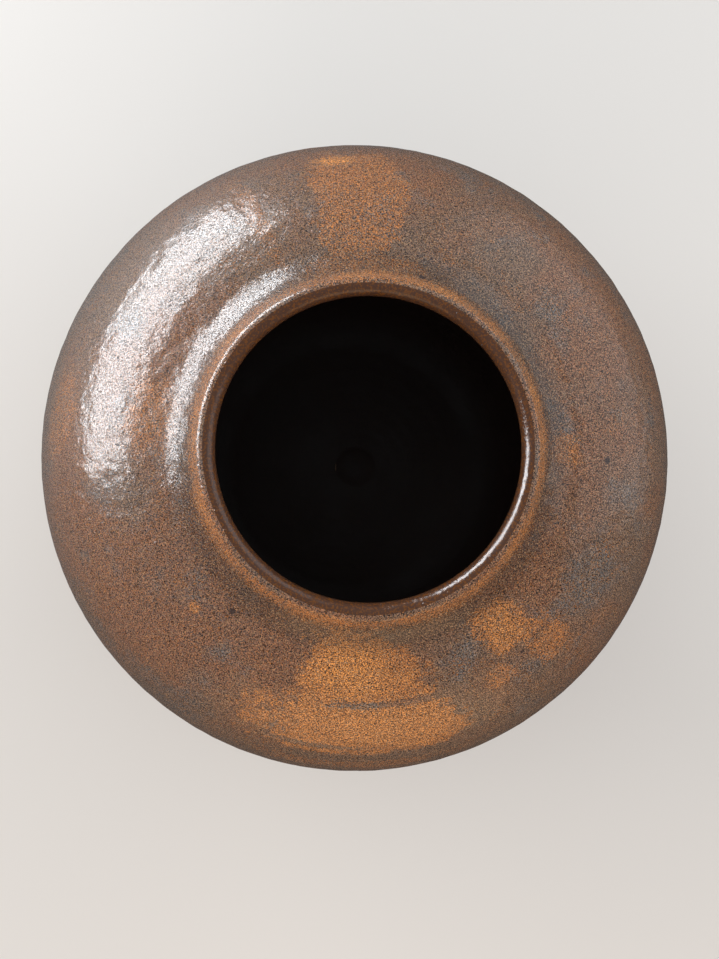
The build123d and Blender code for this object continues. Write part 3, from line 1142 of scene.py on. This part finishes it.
class VASE_OT_bare_clay(bpy.types.Operator):
    """Turn the foot ring and the lower bowl with their tool marks, and give the hidden clay its finish"""

    bl_idname = "vase.bare_clay"
    bl_label = "Bare Clay"

    def execute(self, context):
        form = context.scene.vase_form
        clay = bare_stoneware(context.scene.vase_clay)
        slip = joining_slip(context.scene.vase_clay)
        foot = foot_ring_section(form)
        mesh = section_mesh("turned_foot_ring", foot, fade=1.0 * MM)
        piece = thrown(
            "turned_foot_ring", foot, mesh, columns=360,
            sink=0.06 * MM, ring_depth=0.05 * MM, ring_spacing=1.3 * MM, seed=11.0, finish=clay,
        )
        on_vase(piece, "foot_ring")
        bowl = bowl_section(form)
        mesh = section_mesh("turned_lower_bowl", bowl, fade=2.0 * MM)
        piece = thrown(
            "turned_lower_bowl", bowl, mesh, columns=360,
            sink=0.06 * MM, ring_depth=0.06 * MM, ring_spacing=2.4 * MM, seed=13.0, finish=clay,
        )
        on_vase(piece, "lower_bowl")
        for name in ("shoulder_dome", "neck_collar"):
            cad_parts[name].data.materials[0] = clay
        for name in ("foot_slip", "belly_slip", "neck_slip"):
            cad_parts[name].data.materials[0] = slip
        return {"FINISHED"}


Card = namedtuple("Card", "name place size power tint")

CARDS = (
    Card("right_card", (0.85, 0.40, 0.45), (1.5, 1.0), 5.0, (0.86, 0.93, 1.0)),     # cool, at the right
    Card("warm_card", (0.05, -0.75, 0.25), (0.9, 0.5), 1.8, (1.0, 0.62, 0.32)),     # warm, in front
)
VASE_MIDDLE = Vector((0, 0, 0.1))
KEY_GAP = 0.1               # two lights at one place would hide each other in the shine


def add_object(name, data):
    """Return a new object in the scene."""
    made = bpy.data.objects.new(name, data)
    bpy.context.scene.collection.objects.link(made)
    return made


def area_light(name, place, size, power, tint, roll=0.0):
    """Add a soft rectangular light that looks at the vase, level and then rolled about its aim."""
    data = bpy.data.lights.new(name, "AREA")
    data.shape = "RECTANGLE"
    data.size, data.size_y = size
    data.energy = power
    data.color = tint
    lamp = add_object(name, data)
    lamp.location = place
    back = (Vector(place) - VASE_MIDDLE).normalized()
    level = Vector((0, 0, 1)).cross(back).normalized()
    axes = Matrix((level, back.cross(level), back)).transposed()
    lamp.rotation_euler = (axes @ Matrix.Rotation(roll, 3, "Z")).to_euler()
    return lamp


def lay_floor(look):
    """Lay the pale floor under the vase."""
    half = look.floor_size / 2
    corners = [(-half, -half, 0), (half, -half, 0), (half, half, 0), (-half, half, 0)]
    mesh = bpy.data.meshes.new("studio_floor")
    mesh.from_pydata(corners, [], [(0, 1, 2, 3)])
    mesh.materials.append(studio_floor(look))
    add_object("studio_floor", mesh)


def hang_lights(look):
    """Hang the window-like light, one lamp for its light and one for its shine, and the two cards."""
    flat = Vector((cos(look.key_azimuth), sin(look.key_azimuth), 0))
    way = flat * sin(look.key_fall) + Vector((0, 0, 1)) * cos(look.key_fall)
    near = VASE_MIDDLE + way * look.key_distance
    far = VASE_MIDDLE + way * (look.key_distance + KEY_GAP)
    sheen = area_light("window_sheen", near, look.key_size, look.sheen_power, look.sheen_tint, look.key_roll)
    sheen.visible_diffuse = False
    light = area_light("window_light", far, look.key_size, look.key_power, look.key_tint, look.key_roll)
    light.visible_glossy = False
    for card in CARDS:
        area_light(*card)


def fill_air(look):
    """Light the room evenly, and less strongly in the glaze's shine."""
    world = bpy.data.worlds.new("studio_air")
    world.use_nodes = True
    air = Bench(world.node_tree)
    in_shine = air.node("ShaderNodeLightPath").outputs["Is Glossy Ray"]
    strength = air.fit(in_shine, 0.0, 1.0, look.air, look.air_in_shine, smooth=False)
    background = world.node_tree.nodes["Background"]
    air.feed(background.inputs["Color"], (*look.air_tint, 1.0))
    air.feed(background.inputs["Strength"], strength)
    bpy.context.scene.world = world


def set_camera(look):
    """Set up the camera that looks down into the vase."""
    data = bpy.data.cameras.new("camera")
    data.lens = look.lens
    data.sensor_width = 36
    data.clip_start = 10 * MM
    camera = add_object("camera", data)
    camera.location = look.camera_place
    forward = Vector(look.camera_aim).normalized()
    right = forward.cross(Vector((0, 1, 0))).normalized()
    camera.rotation_euler = Matrix((right, right.cross(forward), -forward)).transposed().to_euler()
    bpy.context.scene.camera = camera


class VASE_OT_studio(bpy.types.Operator):
    """Lay the pale floor, hang the soft lights and set up the camera"""

    bl_idname = "vase.studio"
    bl_label = "Studio"

    def execute(self, context):
        look = context.scene.vase_studio
        lay_floor(look)
        hang_lights(look)
        fill_air(look)
        set_camera(look)
        context.scene.view_settings.view_transform = "Standard"
        return {"FINISHED"}


class VASE_PT_finish(bpy.types.Panel):
    """Lists the steps that finish the vase"""

    bl_label = "Stoneware Vase"
    bl_idname = "VASE_PT_finish"
    bl_space_type = "VIEW_3D"
    bl_region_type = "UI"
    bl_category = "Vase"

    def draw(self, context):
        for operator in OPERATORS:
            self.layout.operator(operator.bl_idname)
        for group in SETTINGS:
            box = self.layout.box()
            settings = getattr(context.scene, group)
            for name in settings.bl_rna.properties.keys():
                if name not in ("rna_type", "name"):
                    box.prop(settings, name)


OPERATORS = (VASE_OT_outer_coat, VASE_OT_liner_coat, VASE_OT_bare_clay, VASE_OT_studio)
SETTINGS = {
    "vase_form": VaseForm,
    "vase_glaze": VaseGlaze,
    "vase_clay": VaseClay,
    "vase_studio": VaseStudio,
}


def register():
    """Register the settings, the operators and the panel."""
    for name, group in SETTINGS.items():
        bpy.utils.register_class(group)
        setattr(bpy.types.Scene, name, PointerProperty(type=group))
    for operator in OPERATORS:
        bpy.utils.register_class(operator)
    bpy.utils.register_class(VASE_PT_finish)


def unregister():
    """Take them off again."""
    bpy.utils.unregister_class(VASE_PT_finish)
    for operator in reversed(OPERATORS):
        bpy.utils.unregister_class(operator)
    for name, group in SETTINGS.items():
        delattr(bpy.types.Scene, name)
        bpy.utils.unregister_class(group)


def main():
    """Run every step in order."""
    register()
    bpy.ops.vase.outer_coat()
    bpy.ops.vase.liner_coat()
    bpy.ops.vase.bare_clay()
    bpy.ops.vase.studio()


if __name__ == "__main__":
    main()
